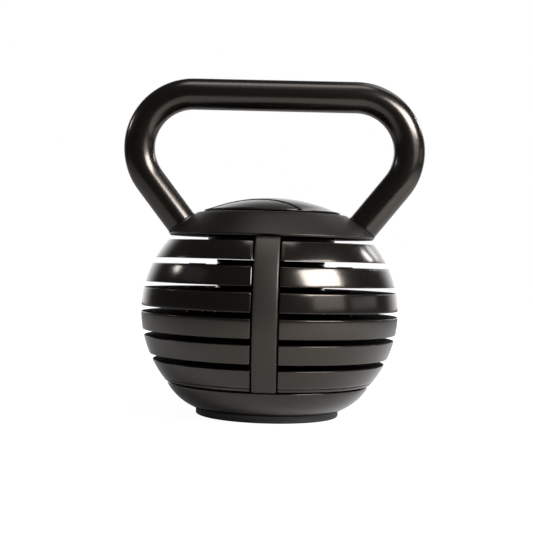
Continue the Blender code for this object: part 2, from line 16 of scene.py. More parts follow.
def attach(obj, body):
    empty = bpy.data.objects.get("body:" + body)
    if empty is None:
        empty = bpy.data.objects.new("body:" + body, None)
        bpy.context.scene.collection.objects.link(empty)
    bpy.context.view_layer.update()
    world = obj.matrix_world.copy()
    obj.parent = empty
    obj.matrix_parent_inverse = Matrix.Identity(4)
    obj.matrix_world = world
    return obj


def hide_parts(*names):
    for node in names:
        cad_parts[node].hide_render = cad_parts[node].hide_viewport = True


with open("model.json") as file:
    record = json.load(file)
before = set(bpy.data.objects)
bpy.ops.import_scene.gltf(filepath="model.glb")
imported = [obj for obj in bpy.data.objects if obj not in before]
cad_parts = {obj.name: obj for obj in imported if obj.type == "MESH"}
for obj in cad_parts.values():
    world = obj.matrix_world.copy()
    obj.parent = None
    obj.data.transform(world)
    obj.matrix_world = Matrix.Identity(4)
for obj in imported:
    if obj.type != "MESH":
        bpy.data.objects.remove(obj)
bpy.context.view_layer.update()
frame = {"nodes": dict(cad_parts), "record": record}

MM = 0.001
GAP = 0.3 * MM
ON_AXIS = 1e-7
WELD = 1e-6

# Segments of a full turn
SEGMENTS = 160
FINE_SEGMENTS = 192
SMALL_SEGMENTS = 48
TUBE_SEGMENTS = 72
ARCH_SEGMENTS = 240

# The ball that the plates, bars and base fill
BALL_RADIUS = 104.0 * MM
BALL_MIDDLE_Z = 84.0 * MM
BALL_RISE = 94.0 * MM
BALL_DROP = 95.0 * MM

# The stack of plates, counted from the top
PLATE_COUNT = 6
PLATE_PITCH = 19.24 * MM
PLATE_RIM = 14.5 * MM
TOP_PLATE_TOP_Z = 139.8 * MM
STACK_BOTTOM_Z = 27.0 * MM
PLATE_FILLET = 0.6 * MM
FACE_LEAD = 0.5 * MM
HUB_RADIUS = 44.0 * MM
HUB_ROOT_ROUND = 1.2 * MM
HUB_CREST_ROUND = 0.6 * MM
PLATE_BORE = 9.4 * MM
NOTCH_HALF_WIDTH = 10.3 * MM
NOTCH_FLOOR_Y = 71.9 * MM
NOTCH_MOUTH_ROUND = 1.1 * MM
NOTCH_FLOOR_ROUND = 0.8 * MM
POCKET_INNER = 50.0 * MM
POCKET_WALL = 12.0 * MM
POCKET_LAND = 17.0 * MM
POCKET_DEPTH = 9.0 * MM
POCKET_CORNER = 3.0 * MM
POCKET_DRAFT = 0.6 * MM
POCKET_ROOF_ROUND = 2.0 * MM
MARK_SIZE = (12.0 * MM, 3.2 * MM, 0.8 * MM)
MARK_RADIUS = 61.0 * MM
MARK_ANGLES = (-11.0, 0.0, 11.0)
MARK_CORNER = 1.0 * MM
MARK_DRAFT = 0.1 * MM
MARK_EDGE = 0.4 * MM
CREASE_Z = 29.4 * MM
CREASE_DEPTH = 0.5 * MM
CREASE_SLOPE = 0.9
CREASE_ROOM = 1.4 * CREASE_DEPTH

# Guide bars: an upright, and a tongue and neck that are let into the base, with a countersunk hole
BAR_HALF_WIDTH = 9.3 * MM
BAR_INNER_Y = 72.3 * MM
BAR_TOP_Z = 143.8 * MM
BAR_FOOT_Z = (22.0 * MM, 26.4 * MM)
BAR_FOOT_Y = (56.0 * MM, 77.0 * MM)
BAR_FOOT_CORNER = 1.0 * MM
BAR_FILLET = 0.6 * MM
BAR_FACE_ROUND = 1.6 * MM
BAR_INNER_ROUND = 0.5 * MM
NECK_INSET = (1.0 * MM, 0.5 * MM)
NECK_Z = (23.0 * MM, 29.0 * MM)
SCREW_Y = 64.0 * MM
SINK_RADII = (5.0 * MM, 2.9 * MM)
SINK_Z = (27.0 * MM, 25.6 * MM, 23.5 * MM, 21.0 * MM)

# Base and foot ring
BASE_TOP_Z = 26.0 * MM
BASE_HUB_Z = 26.7 * MM
BASE_FILLET = 1.0 * MM
BASE_SHELF = 1.0 * MM
BASE_RIM = (82.0 * MM, 25.4 * MM)
BASE_BULGE = (71.6 * MM, 13.0 * MM)
BASE_LOWER = (60.4 * MM, 6.2 * MM)
BASE_UNDERSIDE_Z = 5.6 * MM
FOOT_OUTER = 57.8 * MM
FOOT_INNER = 44.0 * MM
FOOT_EDGE = 1.2 * MM
FOOT_TOP_Z = 5.5 * MM
NUT_BARREL_RADIUS = 11.7 * MM

# Spindle
SPINDLE_RADIUS = 8.0 * MM
SPINDLE_Z = (12.0 * MM, 168.0 * MM)
SPINDLE_HOLE = 8.4 * MM
SPINDLE_TIP = (1.8 * MM, 1.5 * MM)
RING_GROOVE_RADIUS = 6.8 * MM
RING_GROOVE_Z = (144.3 * MM, 146.1 * MM)
THREAD_TOP_Z = 52.0 * MM
THREAD_PITCH = 2.5 * MM
THREAD_DEPTH = 1.1 * MM
THREAD_CREST = 0.10
THREAD_FLANK = 0.26
THREAD_STEPS = 10

# Cap
CAP_TOP_Z = 163.2 * MM
CAP_UNDERSIDE_Z = 143.6 * MM
CAP_RIM_RADIUS = 82.9 * MM
CAP_SHOULDER = ((82.7 * MM, 145.3 * MM), (63.2 * MM, 161.0 * MM))
CAP_TOP_RADIUS = 56.0 * MM
CAP_CROWN = (60.6 * MM, 162.7 * MM)
CAP_EDGE = 0.6 * MM
CAP_BOSS_RADIUS = 51.5 * MM
CAP_BOSS_Z = 140.1 * MM
CAP_HOLLOW = (18.0 * MM, 44.0 * MM)
CAP_HOLLOW_Z = 154.0 * MM
CAP_HOLLOW_DRAFT = 0.5 * MM
CAP_HOLLOW_ROUND = 3.0 * MM
CAP_COLUMN_Z = 147.6 * MM
CAP_WELL_RADIUS = 15.6 * MM
CAP_WELL_Z = 155.6 * MM
ARCH_RISE = 1.2 * MM
ARCH_HALF_WIDTH = 12.0 * MM
ARCH_START_Y = 59.5 * MM

# Lock dial
DIAL_RADIUS = 55.6 * MM
DIAL_TOP_Z = 176.1 * MM
DIAL_DOME = 135.0 * MM
DIAL_UNDERSIDE_Z = 163.9 * MM
DIAL_EDGE = 2.4 * MM
DIAL_EDGE_Z = 165.0 * MM
DIAL_LEDGE_Z = 164.5 * MM
DIAL_WELL = 2.6 * MM
DIAL_WELL_SPAN = (24.0 * MM, 47.0 * MM)
DIAL_WELL_EDGE = 50.0 * MM
DIAL_CORE = (20.0 * MM, 171.0 * MM)
DIAL_HUB = (15.0 * MM, 157.7 * MM)
DIAL_BORE_Z = 155.0 * MM
PAD_ARC_RADIUS = 71.0 * MM
PAD_ARC_DISTANCE = 94.0 * MM
PAD_ARC_ANGLE = 248.0
PAD_GROOVE = 1.1 * MM
PAD_RIM_RADIUS = 51.0 * MM
PAD_SET_DOWN = 0.5 * MM
PAD_THICKNESS = 1.5 * MM
PAD_FILLET = 0.5 * MM
PAD_CORNER = 1.2 * MM
PAD_MIDDLE = 37.0 * MM
BRIDGE_RADIUS = DIAL_RADIUS - 0.05 * MM
BRIDGE_FILLET = 0.45 * MM
BRIDGE_CORNER = 1.0 * MM
BRIDGE_SINK = 0.2 * MM

# Handle
TUBE_RADIUS = 12.7 * MM
TUBE_WALL = 3.0 * MM
TUBE_BEVEL = 0.25 * MM
TUBE_MOUTH_DEPTH = 10.0 * MM
TUBE_SMOOTH_ANGLE = 40.0
LEG_STATIONS = (0.0, TUBE_BEVEL, 0.6 * MM, 8.0 * MM, 24.0 * MM)
GRIP_STATIONS = (30.0 * MM, 0.0, -30.0 * MM)
GRIP_HALF = 66.1 * MM
GRIP_Z = 259.4 * MM
BEND_RADIUS = 44.0 * MM
LEG_ANGLE = 38.2
LEG_LENGTH = 43.6 * MM
SEAT_PAD_RADIUS = 13.1 * MM
SEAT_PAD_DEPTH = 1.6 * MM
BOLT_RADIUS = 4.0 * MM
BOLT_HOLE = 4.4 * MM
BOLT_HEAD_RADIUS = 6.0 * MM
BOLT_HEAD_SPAN = (6.3 * MM, 9.5 * MM)
BOLT_POCKET_RADIUS = 7.2 * MM
BOLT_POCKET_DEPTH = 4.7 * MM
BOLT_TIP = -16.0 * MM
BOLT_SOCKET_RADII = (3.3 * MM, 2.9 * MM)
BOLT_SOCKET_DEPTH = 2.0 * MM

# Materials: broad patches of colour and roughness, a fine relief, and how level a flat face is
PATCH_SCALE = 9.0
PATCH_SPAN = (0.3, 0.7)
PATCH_DETAIL = 3.0
RELIEF_DETAIL = 4.0
RELIEF_STRENGTH = 0.5
COLOUR_SPREAD = 0.12
ROUGHNESS_SPREAD = 0.03
FLATNESS = 0.9
WARM_GLOSS = (1.0, 0.89, 0.79)

# Camera: its place, where it looks and its lens, with angles in degrees and the lens in millimetres
CAMERA_DISTANCE = 0.931
CAMERA_HEIGHT = 0.1252
CAMERA_YAW = 1.9
CAMERA_PAN = 0.21
CAMERA_PITCH = 0.31
CAMERA_ROLL = 1.6
CAMERA_LENS = 77.07
CAMERA_SENSOR = 36.0

# Floor, and how it glows for the eye: the strength between two distances from the middle
FLOOR_SPAN = (-1.8, 1.8, -0.68, 3.0)
FLOOR_SHADE = 0.60
FLOOR_ROUGHNESS = 0.8
FLOOR_GLOW = 0.88
GLOW_DISTANCES = (0.25, 0.8)
GLOW_STRENGTHS = (1.1, 1.3)

# World: the backdrop that the gloss sees, brighter low down, and the light on matt surfaces
WALL = 1.5
WALL_EDGE = (0.60, 0.92)
WALL_HEIGHT = (0.25, 0.6)
WALL_FALL = (1.0, 0.12)
AMBIENT = 0.055
ROOM = 0.35

# Lights: what they face, and how high the two overhead ones hang
LIGHT_TARGET = Vector((0, 0, 0.11))
CEILING = Vector((0, 0, 0.85))
OVERHEAD = Vector((0.0, -0.12, 0))
OVERHEAD_FRONT = Vector((-0.02, -0.38, 0))


# ---------------------------------------------------------------- mesh helpers


def arc_steps(first, last, count):
    return [first + (last - first) * i / (count - 1) for i in range(count)]


def rounded(corners, closed=False, steps=5):
    """An outline of (a, b, radius) corners as points, each corner turned into an arc of that radius."""
    points = []
    count = len(corners)
    for i, (a, b, radius) in enumerate(corners):
        here = Vector((a, b))
        if radius <= 0 or (not closed and i in (0, count - 1)):
            points.append(here)
            continue
        back = Vector(corners[i - 1][:2]) - here
        ahead = Vector(corners[(i + 1) % count][:2]) - here
        half = back.angle(ahead) / 2
        reach = min(radius / math.tan(half), 0.49 * back.length, 0.49 * ahead.length)
        radius = reach * math.tan(half)
        centre = here + (back.normalized() + ahead.normalized()).normalized() * radius / math.sin(half)
        start = here + back.normalized() * reach - centre
        end = here + ahead.normalized() * reach - centre
        turn = start.angle(end)
        for k in range(steps + 1):
            t = k / steps
            mix = start * math.sin((1 - t) * turn) + end * math.sin(t * turn)
            points.append(centre + mix / math.sin(turn))
    return points


def rectangle(half, low, high, radius):
    """Corners of a rectangle that lies between two y values, each with the radius of its arc."""
    return [(half, low, radius), (half, high, radius), (-half, high, radius), (-half, low, radius)]


def circle(radius, count=128):
    angles = [2 * math.pi * i / count for i in range(count)]
    return [Vector((radius * math.cos(a), radius * math.sin(a))) for a in angles]


def at(outline, z):
    return [Vector((p[0], p[1], z)) for p in outline]


class Shell:
    """A closed mesh grown from rings of points."""

    def __init__(self):
        self.shape = bmesh.new()

    def walls(self, rings):
        """Joins rings of equal length and returns the first and last. A ring of one point is a tip."""
        made = [[self.shape.verts.new(p) for p in ring] for ring in rings]
        for low, high in zip(made, made[1:]):
            self.bridge(low, high)
        return made[0], made[-1]

    def bridge(self, low, high):
        if len(low) == 1:
            low, high = high, low
        for i in range(len(low)):
            a, b = low[i - 1], low[i]
            if len(high) == 1:
                self.shape.faces.new((a, b, high[0]))
            else:
                self.shape.faces.new((a, b, high[i], high[i - 1]))

    def fill(self, *loops):
        """A flat face with holes, between loops of vertices."""
        edges = []
        for loop in loops:
            for i in range(len(loop)):
                pair = (loop[i - 1], loop[i])
                edges.append(self.shape.edges.get(pair) or self.shape.edges.new(pair))
        bmesh.ops.triangle_fill(self.shape, edges=edges, use_beauty=True, use_dissolve=False)

    def done(self, name):
        bmesh.ops.remove_doubles(self.shape, verts=self.shape.verts, dist=WELD)
        bmesh.ops.recalc_face_normals(self.shape, faces=self.shape.faces)
        mesh = bpy.data.meshes.new(name)
        self.shape.to_mesh(mesh)
        self.shape.free()
        obj = bpy.data.objects.new(name, mesh)
        bpy.context.scene.collection.objects.link(obj)
        return obj


def smooth(obj, angle=32.0):
    mesh = obj.data
    mesh.shade_smooth()
    mesh.set_sharp_from_angle(angle=math.radians(angle))
    return obj


def lathe(name, outline, segments=SEGMENTS):
    """A solid of revolution from a closed or axis-to-axis outline of (radius, z)."""
    shell = Shell()
    rings = []
    for radius, z in outline:
        if radius < ON_AXIS:
            rings.append([Vector((0, 0, z))])
        else:
            rings.append(at(circle(radius, segments), z))
    first, last = shell.walls(rings)
    if outline[0][0] > ON_AXIS:
        shell.bridge(last, first)
    return shell.done(name)


def prism(name, outline, low, high):
    """An upright solid with the same outline from one height to another."""
    shell = Shell()
    bottom, top = shell.walls([at(outline, z) for z in (low, high)])
    shell.fill(bottom)
    shell.fill(top)
    return shell.done(name)


def solid(target, operation, *others):
    """Applies a Boolean with each of the other objects, which are used up."""
    for other in others:
        modifier = target.modifiers.new("boolean", "BOOLEAN")
        modifier.operation = operation
        modifier.object = other
        modifier.solver = "EXACT"
    graph = bpy.context.evaluated_depsgraph_get()
    mesh = bpy.data.meshes.new_from_object(target.evaluated_get(graph))
    target.modifiers.clear()
    target.data = mesh
    for other in others:
        bpy.data.objects.remove(other, do_unlink=True)
    return target


def rod(name, radius, start, end, sides=SMALL_SEGMENTS):
    """A round bar between two points."""
    start, end = Vector(start), Vector(end)
    axis = end - start
    turn = Vector((0, 0, 1)).rotation_difference(axis).to_matrix()
    rings = []
    for distance in (0.0, axis.length):
        rings.append([start + turn @ Vector((p.x, p.y, distance)) for p in circle(radius, sides)])
    shell = Shell()
    first, last = shell.walls(rings)
    shell.fill(first)
    shell.fill(last)
    return shell.done(name)


def moved(obj, matrix):
    obj.data.transform(matrix)
    return obj


def ball_radius(z):
    rise = BALL_RISE if z > BALL_MIDDLE_Z else BALL_DROP
    return BALL_RADIUS * math.sqrt(1 - ((z - BALL_MIDDLE_Z) / rise) ** 2)


def arc_through(start, middle, end, count):
    """Points of the circular arc through three (radius, z) points, both ends included."""
    (ax, ay), (bx, by), (cx, cy) = start, middle, end
    double = 2 * (ax * (by - cy) + bx * (cy - ay) + cx * (ay - by))
    a2, b2, c2 = ax * ax + ay * ay, bx * bx + by * by, cx * cx + cy * cy
    ux = (a2 * (by - cy) + b2 * (cy - ay) + c2 * (ay - by)) / double
    uy = (a2 * (cx - bx) + b2 * (ax - cx) + c2 * (bx - ax)) / double
    radius = math.hypot(ax - ux, ay - uy)
    angles = arc_steps(math.atan2(ay - uy, ax - ux), math.atan2(cy - uy, cx - ux), count)
    return [(ux + radius * math.cos(a), uy + radius * math.sin(a)) for a in angles]


def dome_z(radius):
    """Height of the dial's dome, which flattens near its rim."""
    flat = DIAL_RADIUS - DIAL_EDGE
    if radius > flat:
        return dome_z(flat) + (DIAL_EDGE_Z - dome_z(flat)) * (radius - flat) / DIAL_EDGE
    return DIAL_TOP_Z - DIAL_DOME + math.sqrt(DIAL_DOME**2 - radius**2)


# ---------------------------------------------------------------- plates


def edge_inset(z, low, high, radius):
    """How far a rounded edge of a slab draws back from its side at a height."""
    depth = max(0.0, low + radius - z, z - (high - radius))
    return radius - math.sqrt(max(0.0, radius**2 - depth**2))


def slab_heights(low, high, radius, steps=6, middle=9):
    """Heights of rings up a slab's side, close together at its two rounded edges."""
    turn = [radius * (1 - math.cos(math.pi / 2 * i / steps)) for i in range(steps)]
    between = arc_steps(low + radius, high - radius, middle)
    return [low + t for t in turn] + between + [high - t for t in reversed(turn)]


def drafted(draft, height, curve, steps):
    """Pairs of inset and height up a sloping wall that ends in a rounded edge."""
    rise = height - curve
    turns = arc_steps(0.0, math.pi / 2, steps)[1:]
    edge = [(draft + curve * (1 - math.cos(a)), rise + curve * math.sin(a)) for a in turns]
    return [(0.0, 0.0), (draft, rise), *edge]


def notched_circle(radius, inset):
    """A circle with a square notch at the front and rear, all drawn in by inset."""
    reach = radius - inset
    half = NOTCH_HALF_WIDTH + inset
    floor = NOTCH_FLOOR_Y - inset
    corner = math.acos(half / reach)
    arc = [(reach * math.cos(a), reach * math.sin(a), 0.0) for a in arc_steps(0.0, corner, 44)[:-1]]
    mouth = (half, reach * math.sin(corner), NOTCH_MOUTH_ROUND)
    quarter = rounded([*arc, mouth, (half, floor, NOTCH_FLOOR_ROUND), (0.0, floor, 0.0)])
    between = quarter[-2:0:-1]
    rear = quarter + [Vector((-p.x, p.y)) for p in between]
    front = [Vector((-p.x, -p.y)) for p in quarter] + [Vector((p.x, -p.y)) for p in between]
    return rear + front


def half_pocket(side, outer, inset):
    """Outline of one of the two casting pockets under a plate."""
    outside, inside, land = outer - inset, POCKET_INNER + inset, POCKET_LAND + inset
    far, near = math.acos(land / outside), math.acos(land / inside)
    corners = []
    for radius, angle, count in ((outside, far, 41), (inside, -near, 31)):
        turns = arc_steps(-angle, angle, count)
        bend = [POCKET_CORNER, *[0.0] * (count - 2), POCKET_CORNER]
        corners += [(radius * math.cos(a), radius * math.sin(a), b) for a, b in zip(turns, bend)]
    return [Vector((side * p.x, p.y)) for p in rounded(corners, closed=True, steps=4)]


def mark_outline(angle, inset):
    length, width, _ = MARK_SIZE
    x, y = length / 2 - inset, width / 2 - inset
    corners = [(x, y, MARK_CORNER), (-x, y, MARK_CORNER), (-x, -y, MARK_CORNER), (x, -y, MARK_CORNER)]
    turn = Matrix.Rotation(math.radians(angle), 2)
    return [turn @ (p + Vector((MARK_RADIUS, 0))) for p in rounded(corners, closed=True, steps=4)]


def plate_span(index):
    top = TOP_PLATE_TOP_Z - (index - 1) * PLATE_PITCH
    bottom = STACK_BOTTOM_Z if index == PLATE_COUNT else top - PLATE_RIM
    return bottom, top


def plate_rings(bottom, top, creased):
    """Outlines up a plate's rim, with or without a crease, and one more laid into each flat face."""
    heights = slab_heights(bottom, top, PLATE_FILLET)
    if creased:
        near = [CREASE_Z + CREASE_DEPTH * k for k in (-1.0, -0.5, 0.0, 0.5, 1.0)]
        heights = sorted({*near, *(z for z in heights if abs(z - CREASE_Z) > CREASE_ROOM)})
    rings = []
    for z in heights:
        radius = ball_radius(z)
        if creased:
            radius -= max(0.0, CREASE_DEPTH - CREASE_SLOPE * abs(z - CREASE_Z))
        rings.append(at(notched_circle(radius, edge_inset(z, bottom, top, PLATE_FILLET)), z))
    inset = PLATE_FILLET + FACE_LEAD
    under, over = (at(notched_circle(ball_radius(z), inset), z) for z in (bottom, top))
    return [under, *rings, over]


def hub_profile(top, hub_top):
    """Radius and height up the wall of a plate's hub, hollow at its root and rounded at its crest."""
    bend, turns = HUB_ROOT_ROUND, arc_steps(0.0, math.pi / 2, 5)
    root = [(HUB_RADIUS + bend * (1 - math.sin(a)), top + bend * (1 - math.cos(a))) for a in turns]
    bend, turns = HUB_CREST_ROUND, arc_steps(0.0, math.pi / 2, 4)
    crest = [(HUB_RADIUS - bend * (1 - math.cos(a)), hub_top - bend * (1 - math.sin(a))) for a in turns]
    return root + crest


def make_plate(index):
    bottom, top = plate_span(index)
    shell = Shell()
    under, over = shell.walls(plate_rings(bottom, top, index == PLATE_COUNT))

    # Underside with its two pockets
    outer = ball_radius(bottom) - POCKET_WALL
    levels = drafted(POCKET_DRAFT, POCKET_DEPTH, POCKET_ROOF_ROUND, 5)
    holes = []
    for side in (1, -1):
        mouth, roof = shell.walls([at(half_pocket(side, outer, inset), bottom + h) for inset, h in levels])
        shell.fill(roof)
        holes.append(mouth)

    # Top face with its hub and marks
    hub_top = top
    islands = []
    if index > 1:
        hub_top = plate_span(index - 1)[0] - GAP
        hub_low, hub_high = shell.walls([at(circle(r), z) for r, z in hub_profile(top, hub_top)])
        islands.append(hub_low)
    bore_low, bore_high = shell.walls([at(circle(PLATE_BORE, SMALL_SEGMENTS), z) for z in (bottom, hub_top)])
    levels = drafted(MARK_DRAFT, MARK_SIZE[2], MARK_EDGE, 4)
    for angle in [*MARK_ANGLES, *(180 + a for a in MARK_ANGLES)]:
        low, high = shell.walls([at(mark_outline(angle, inset), top + h) for inset, h in levels])
        shell.fill(high)
        islands.append(low)
    shell.fill(under, *holes, bore_low)
    if index > 1:
        shell.fill(over, *islands)
        shell.fill(hub_high, bore_high)
    else:
        shell.fill(over, *islands, bore_high)
    return smooth(shell.done(f"plate_{index}_casting"))


# ---------------------------------------------------------------- base and guide bars


def make_base():
    side = arc_through(BASE_RIM, BASE_BULGE, BASE_LOWER, 15)
    outline = rounded([
        (NUT_BARREL_RADIUS + GAP, BASE_HUB_Z, 0),
        (HUB_RADIUS, BASE_HUB_Z, 0.4 * MM),
        (HUB_RADIUS, BASE_TOP_Z, 0.2 * MM),
        (BASE_RIM[0] - 0.4 * MM, BASE_TOP_Z, BASE_FILLET),
        *((r, z, 0) for r, z in side[1:]),
        (FOOT_OUTER + BASE_SHELF, BASE_UNDERSIDE_Z, 0.4 * MM),
        (NUT_BARREL_RADIUS + GAP, BASE_UNDERSIDE_Z, 0.5 * MM),
    ])
    base = lathe("base_casting", outline, FINE_SEGMENTS)
    for turn in (1, -1):
        low, high = sorted((turn * (BAR_FOOT_Y[0] - GAP), turn * (BAR_FOOT_Y[1] + GAP)))
        outline = rounded(rectangle(BAR_HALF_WIDTH + GAP, low, high, BAR_FOOT_CORNER), closed=True)
        pocket = prism("foot_pocket", outline, BAR_FOOT_Z[0] - GAP, BASE_TOP_Z + 1 * MM)
        base = solid(base, "DIFFERENCE", pocket)
    return smooth(base)


def make_foot_ring():
    outline = rounded([
        (FOOT_OUTER, FOOT_TOP_Z, 0),
        (FOOT_OUTER, 0, FOOT_EDGE),
        (FOOT_INNER, 0, FOOT_EDGE),
        (FOOT_INNER, FOOT_TOP_Z, 0),
    ], steps=6)
    return smooth(lathe("foot_ring_rubber", outline, FINE_SEGMENTS))


def sided(side, outline):
    """An outline as it is for side 1, the rear, or turned to the front for side -1."""
    return [side * p for p in outline]


def bar_outline(z, side, inset):
    """Plan of a guide bar at one height: flat inside and flanks, and an outer face on the ball."""
    half = BAR_HALF_WIDTH - inset
    inner = BAR_INNER_Y + inset
    reach = ball_radius(z) - inset
    bends = [BAR_FACE_ROUND, *[0.0] * 7, BAR_FACE_ROUND]
    face = [(x, math.sqrt(reach**2 - x**2), bend) for x, bend in zip(arc_steps(half, -half, 9), bends)]
    corners = [(-half, inner, BAR_INNER_ROUND), (half, inner, BAR_INNER_ROUND), *face]
    return sided(side, rounded(corners, closed=True, steps=4))


def make_bar(side, name):
    """An upright in the plates' notches, with a tongue let into the base and a neck that joins the two."""
    low, high = BAR_FOOT_Z[1], BAR_TOP_Z
    shell = Shell()
    rings = []
    for z in slab_heights(low, high, BAR_FILLET, steps=4, middle=48):
        rings.append(at(bar_outline(z, side, edge_inset(z, low, high, BAR_FILLET)), z))
    foot, head = shell.walls(rings)
    shell.fill(foot)
    shell.fill(head)
    bar = shell.done(f"{name}_guide_bar")
    outline = rounded(rectangle(BAR_HALF_WIDTH, *BAR_FOOT_Y, BAR_FOOT_CORNER), closed=True)
    tongue = prism("tongue", sided(side, outline), BAR_FOOT_Z[0], BASE_TOP_Z)
    narrow, short = NECK_INSET
    corners = rectangle(BAR_HALF_WIDTH - narrow, BAR_INNER_Y + short, BAR_FOOT_Y[1] - short, 0)
    neck = prism("neck", sided(side, rounded(corners, closed=True)), *NECK_Z)
    bar = solid(bar, "UNION", tongue, neck)
    wide, thin = SINK_RADII
    radii = (0, wide, wide, thin, thin, 0)
    mouth, cone_top, cone_end, end = SINK_Z
    heights = (mouth, mouth, cone_top, cone_end, end, end)
    sink = lathe("sink", list(zip(radii, heights)), SMALL_SEGMENTS)
    moved(sink, Matrix.Translation((0, side * SCREW_Y, 0)))
    return smooth(solid(bar, "DIFFERENCE", sink))


# ---------------------------------------------------------------- the head


def leg_frame(side):
    """The seat of one leg: its centre on the cap and the direction up the leg."""
    angle = math.radians(LEG_ANGLE)
    up = Vector((side * math.sin(angle), 0, math.cos(angle)))
    bend_x = GRIP_HALF + BEND_RADIUS * math.cos(angle)
    bend_z = GRIP_Z - BEND_RADIUS - BEND_RADIUS * math.sin(angle)
    return Vector((side * bend_x, 0, bend_z)) - up * LEG_LENGTH, up


def tube_path():
    """Points and directions along the tube, from the seat of the right leg to that of the left."""
    halves = []
    for side in (1, -1):
        seat, up = leg_frame(side)
        bend = Vector((side * GRIP_HALF, 0, GRIP_Z - BEND_RADIUS))
        half = [(seat + up * (GAP / 2 + t), up) for t in LEG_STATIONS]
        for degrees in arc_steps(-LEG_ANGLE, 90, 41):
            angle = math.radians(degrees)
            out = Vector((side * math.cos(angle), 0, math.sin(angle)))
            along = Vector((-side * math.sin(angle), 0, math.cos(angle)))
            half.append((bend + BEND_RADIUS * out, along))
        halves.append(half)
    right, left = halves
    grip = [(Vector((x, 0, GRIP_Z)), Vector((-1, 0, 0))) for x in GRIP_STATIONS]
    return right + grip + [(point, -along) for point, along in reversed(left)]


def ring_across(point, along, radius):
    """A circle of points across the tube, whose axis stays in the plane y = 0."""
    across = Vector((0, 1, 0))
    lift = along.cross(across).normalized()
    turns = arc_steps(0, 2 * math.pi, TUBE_SEGMENTS + 1)[:-1]
    return [point + radius * (math.cos(a) * lift + math.sin(a) * across) for a in turns]


def make_tube():
    """The bent handle tube. Each end is square, and open for a short way."""
    path = tube_path()
    radii = [TUBE_RADIUS - TUBE_BEVEL, *[TUBE_RADIUS] * (len(path) - 2), TUBE_RADIUS - TUBE_BEVEL]
    shell = Shell()
    ends = shell.walls([ring_across(point, along, radius) for (point, along), radius in zip(path, radii)])
    for end, (point, along), depth in zip(ends, (path[0], path[-1]), (TUBE_MOUTH_DEPTH, -TUBE_MOUTH_DEPTH)):
        bore = [ring_across(point + along * step, along, TUBE_RADIUS - TUBE_WALL) for step in (0, depth)]
        mouth, back = shell.walls(bore)
        shell.bridge(end, mouth)
        shell.fill(back)
    return smooth(shell.done("handle_tube_bend"), TUBE_SMOOTH_ANGLE)


def make_cap():
    shoulder_low, shoulder_high = CAP_SHOULDER
    outline = rounded([
        (CAP_WELL_RADIUS, CAP_TOP_Z, 0.5 * MM),
        (CAP_TOP_RADIUS, CAP_TOP_Z, 2.0 * MM),
        (*CAP_CROWN, 2.5 * MM),
        (*shoulder_high, 2.0 * MM),
        (*shoulder_low, 1.2 * MM),
        (CAP_RIM_RADIUS - CAP_EDGE, CAP_UNDERSIDE_Z, 0.5 * MM),
        (CAP_BOSS_RADIUS, CAP_UNDERSIDE_Z, 1.0 * MM),
        (CAP_BOSS_RADIUS, CAP_BOSS_Z, 0.7 * MM),
        (CAP_HOLLOW[1], CAP_BOSS_Z, 0.7 * MM),
        (CAP_HOLLOW[1] - CAP_HOLLOW_DRAFT, CAP_HOLLOW_Z, CAP_HOLLOW_ROUND),
        (CAP_HOLLOW[0] + CAP_HOLLOW_DRAFT, CAP_HOLLOW_Z, CAP_HOLLOW_ROUND),
        (CAP_HOLLOW[0], CAP_COLUMN_Z, 0.6 * MM),
        (SPINDLE_HOLE, CAP_COLUMN_Z, 0),
        (SPINDLE_HOLE, CAP_WELL_Z, 0),
        (CAP_WELL_RADIUS, CAP_WELL_Z, 0),
    ], closed=True, steps=6)
    cap = lathe("top_cap_casting", outline, FINE_SEGMENTS)
    for side in (1, -1):
        seat, up = leg_frame(side)
        face = seat - up * GAP / 2
        pad = rod("pad", SEAT_PAD_RADIUS, face, face - up * SEAT_PAD_DEPTH, TUBE_SEGMENTS)
        cap = solid(cap, "UNION", pad)
        below = seat - up * (CAP_TOP_Z - CAP_UNDERSIDE_Z)
        hole = rod("hole", BOLT_HOLE, seat + up * 2 * MM, below)
        pocket = rod("pocket", BOLT_POCKET_RADIUS, seat - up * BOLT_POCKET_DEPTH, below)
        cap = solid(cap, "DIFFERENCE", hole, pocket)
    radius = (ARCH_HALF_WIDTH**2 + ARCH_RISE**2) / (2 * ARCH_RISE)
    z = CAP_UNDERSIDE_Z + ARCH_RISE - radius
    for side in (1, -1):
        ends = [(0, side * y, z) for y in (ARCH_START_Y, BALL_RADIUS)]
        cap = solid(cap, "DIFFERENCE", rod("arch", radius, *ends, sides=ARCH_SEGMENTS))
    return smooth(cap)


def arc_meets(radius, arc):
    """Where a pad's arc meets a circle about the axis: distances along and across the dial's bridge."""
    v = (PAD_ARC_DISTANCE**2 + radius**2 - arc**2) / (2 * PAD_ARC_DISTANCE)
    return math.sqrt(radius**2 - v**2), v


def bridge_outline(inset):
    """Outline of the bridge between the dial's two pads, in the dial's (u, v) axes."""
    radius = BRIDGE_RADIUS - inset
    arc = PAD_ARC_RADIUS + inset
    tip_u, tip_v = arc_meets(radius, arc)
    tip = math.atan2(tip_v, tip_u)
    right = [(radius * math.cos(a), radius * math.sin(a), 0.0) for a in arc_steps(-tip, tip, 25)]
    across = arc_steps(tip_u, -tip_u, 49)[1:-1]
    waist = [(u, PAD_ARC_DISTANCE - math.sqrt(arc**2 - u**2), 0.0) for u in across]
    for end in (0, -1):
        right[end] = (*right[end][:2], BRIDGE_CORNER)
    half = right + waist
    return rounded(half + [(-u, -v, bend) for u, v, bend in half], closed=True, steps=3)


